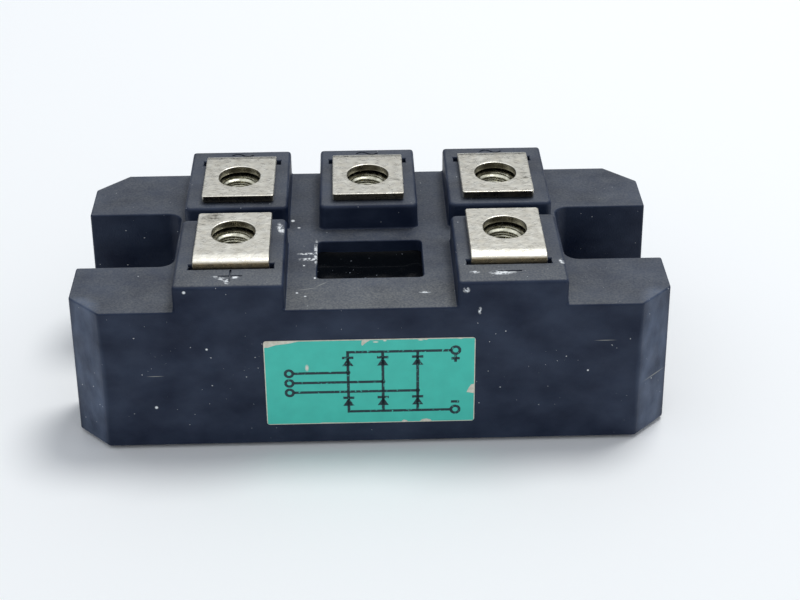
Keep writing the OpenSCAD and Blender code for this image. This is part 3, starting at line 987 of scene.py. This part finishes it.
def circuit_diagram(width, tall, line):
    """A three-phase bridge: two rails, three legs of two diodes, and three mains lines between."""
    rail_in, spread = 1.9, 1.5
    top, bottom, middle = tall - rail_in, rail_in, tall / 2
    left, right = 3.2, width - 2.6
    legs = (11.0, 15.6, 20.2)
    # Radii of the rings at the rails' and the mains lines' ends, and of the joints' dots
    port, mains, dot = 0.55, 0.5, 0.32
    # Half the width and height of a diode's arrow, the level of its bar, and its own shift
    half, tip, bar, shift = 0.75, 0.62, 0.66, 0.05
    for z in (top, bottom):
        yield stroke([(legs[0] - line / 2, z), (right - port, z)], line)
    for z in (top, bottom):
        yield from ring(right, z, port, line)
    for k, x in enumerate(legs):
        z = middle + (1 - k) * spread
        yield stroke([(x, bottom), (x, top)], line)
        yield stroke([(left + port, z), (x, z)], line)
        yield from ring(left, z, mains, line)
        turns = [math.pi * n / 6 for n in range(12)]
        yield [(x + dot * math.cos(t), z + dot * math.sin(t)) for t in turns]
        for at in ((top + middle + spread) / 2 + shift, (bottom + middle - spread) / 2 - shift):
            yield [(x - half, at - tip), (x + half, at - tip), (x, at + tip)]
            yield stroke([(x - half, at + bar), (x + half, at + bar)], line)
    # The signs: a bar inside each rail's ring, and the plus's upright
    for z, inside in ((top, 1.25), (bottom, -1.25)):
        yield stroke([(right - port, z - inside), (right + port, z - inside)], line)
    yield stroke([(right, top - 1.8), (right, top - 0.7)], line)


class BasePiece(bpy.types.Operator):
    """Gives the base plate soft edges and its dull plating"""

    bl_idname = "rectifier.base_plate"
    bl_label = "Base plate"

    def execute(self, context):
        plating = inner_finish("dull_nickel_base", "#b9b4a6", "#8d8676", 2.0, 1.0, 0.35, 0.55)
        edge_radius = 0.25 * MM
        mesh = softened(plain_form("base_plate"), "base_plate", lambda edge, convex: edge_radius)
        piece("base_plate_plated", "base_metal", plating, shaded(mesh), "base_plate")
        return {"FINISHED"}


class CircuitPieces(bpy.types.Operator):
    """Finishes the copper, ceramic, dies and gel inside the case"""

    bl_idname = "rectifier.circuit"
    bl_label = "Circuit"

    def execute(self, context):
        copper = inner_finish("bare_copper_foil", "#b87750", "#9c5f3d", 1.0, 1.0, 0.3, 0.5)
        fired = inner_finish("fired_alumina", "#ebe9e0", "#dcd8cb", 0.8, 0.0, 0.5, 0.7)
        silicon = inner_finish("metallised_silicon", "#7f858c", "#63696f", 0.6, 1.0, 0.25, 0.4)
        gel = inner_finish("clear_silicone_gel", "#c6d0d2", "#b5c0c2", 4.0, 0.0, 0.08, 0.15)
        for material, nodes in (
            (copper, ("under_foil", "plus_pad", "minus_pad")),
            (fired, ("ceramic",)),
            (silicon, DIES),
            (gel, ("gel",)),
        ):
            for node in nodes:
                materials = frame["nodes"][node].data.materials
                materials.clear()
                materials.append(material)
        return {"FINISHED"}


class Stage(bpy.types.Operator):
    """Sets the plain floor, the lights and the camera"""

    bl_idname = "rectifier.stage"
    bl_label = "Floor, lights and camera"

    def execute(self, context):
        scene = context.scene
        looks = scene.rectifier_stage
        scene.view_settings.view_transform = "Standard"

        def paper(tree, place):
            return {"Base Color": tuple(looks.floor), "Roughness": 0.9, "Specular IOR Level": 0.1}

        half = 2.0
        floor = bpy.data.meshes.new("floor")
        corners = [(-half, -half, 0), (half, -half, 0), (half, half, 0), (-half, half, 0)]
        floor.from_pydata(corners, [], [(0, 1, 2, 3)])
        floor.materials.append(finish("matt_paper_floor", paper))
        stand = bpy.data.objects.new("floor", floor)
        scene.collection.objects.link(stand)

        # The lamp hangs high, a little to the right of the object and behind it
        away = Vector((0.27, 0.27, 1.0)).normalized() * 0.8
        lamp = bpy.data.lights.new("key", "AREA")
        lamp.shape, lamp.size = "DISK", 0.3
        # Power that lights a level white surface to the stated share of full white
        lamp.energy = looks.key * math.pi**2 * away.length**2
        key = bpy.data.objects.new("key", lamp)
        key.location = away
        key.rotation_mode = "QUATERNION"
        key.rotation_quaternion = away.to_track_quat("Z", "Y")
        scene.collection.objects.link(key)

        world = bpy.data.worlds.new("studio")
        world.use_nodes = True
        tree = world.node_tree
        tree.nodes.clear()
        seen = add(tree, "ShaderNodeLightPath", out="Is Glossy Ray")
        way = add(tree, "ShaderNodeTexCoord", out="Generated")
        up = add(tree, "ShaderNodeSeparateXYZ", {0: way}, out="Z")
        # Gloss mirrors a room that is dim round about and bright overhead
        room = {0: up, 1: 0.15, 2: 0.8, 3: looks.sky_low, 4: looks.sky_high}
        room = add(tree, "ShaderNodeMapRange", room, interpolation_type="SMOOTHSTEP")
        level = add(tree, "ShaderNodeMapRange", {0: seen, 3: looks.sky, 4: room})
        sky = add(tree, "ShaderNodeBackground", {"Color": linear("#f4f8ff"), "Strength": level})
        add(tree, "ShaderNodeOutputWorld", {"Surface": sky})
        scene.world = world

        lens = bpy.data.cameras.new("camera")
        lens.lens = looks.lens
        lens.clip_start = 0.01
        eye = bpy.data.objects.new("camera", lens)
        eye.location = [c * MM for c in EYE]
        eye.rotation_euler = [math.radians(turn) for turn in EYE_TURN]
        scene.collection.objects.link(eye)
        scene.camera = eye
        return {"FINISHED"}


class RectifierPanel(bpy.types.Panel):
    """Lists the steps and their sizes and colours"""

    bl_idname = "VIEW3D_PT_rectifier"
    bl_label = "Bridge Rectifier"
    bl_space_type = "VIEW_3D"
    bl_region_type = "UI"
    bl_category = "Rectifier"

    def draw(self, context):
        for step, looks in STEPS:
            box = self.layout.box()
            box.operator(step.bl_idname)
            if looks:
                group = getattr(context.scene, looks)
                for key in group.bl_rna.properties.keys():
                    if key not in ("rna_type", "name"):
                        box.prop(group, key)


LOOKS = {
    "rectifier_case": CaseLooks,
    "rectifier_terminals": TerminalLooks,
    "rectifier_nuts": NutLooks,
    "rectifier_potting": PottingLooks,
    "rectifier_label": LabelLooks,
    "rectifier_stage": StageLooks,
}
STEPS = (
    (Stage, "rectifier_stage"),
    (CasePiece, "rectifier_case"),
    (TerminalPieces, "rectifier_terminals"),
    (NutPieces, "rectifier_nuts"),
    (PottingPiece, "rectifier_potting"),
    (LabelPiece, "rectifier_label"),
    (BasePiece, None),
    (CircuitPieces, None),
)


def register():
    for kind in (*LOOKS.values(), *[step for step, _ in STEPS], RectifierPanel):
        bpy.utils.register_class(kind)
    for name, kind in LOOKS.items():
        setattr(bpy.types.Scene, name, PointerProperty(type=kind))


def unregister():
    for name in LOOKS:
        delattr(bpy.types.Scene, name)
    for kind in (RectifierPanel, *[step for step, _ in STEPS], *LOOKS.values()):
        bpy.utils.unregister_class(kind)


def main():
    register()
    for step, _ in STEPS:
        group, name = step.bl_idname.split(".")
        getattr(getattr(bpy.ops, group), name)()


if __name__ == "__main__":
    main()
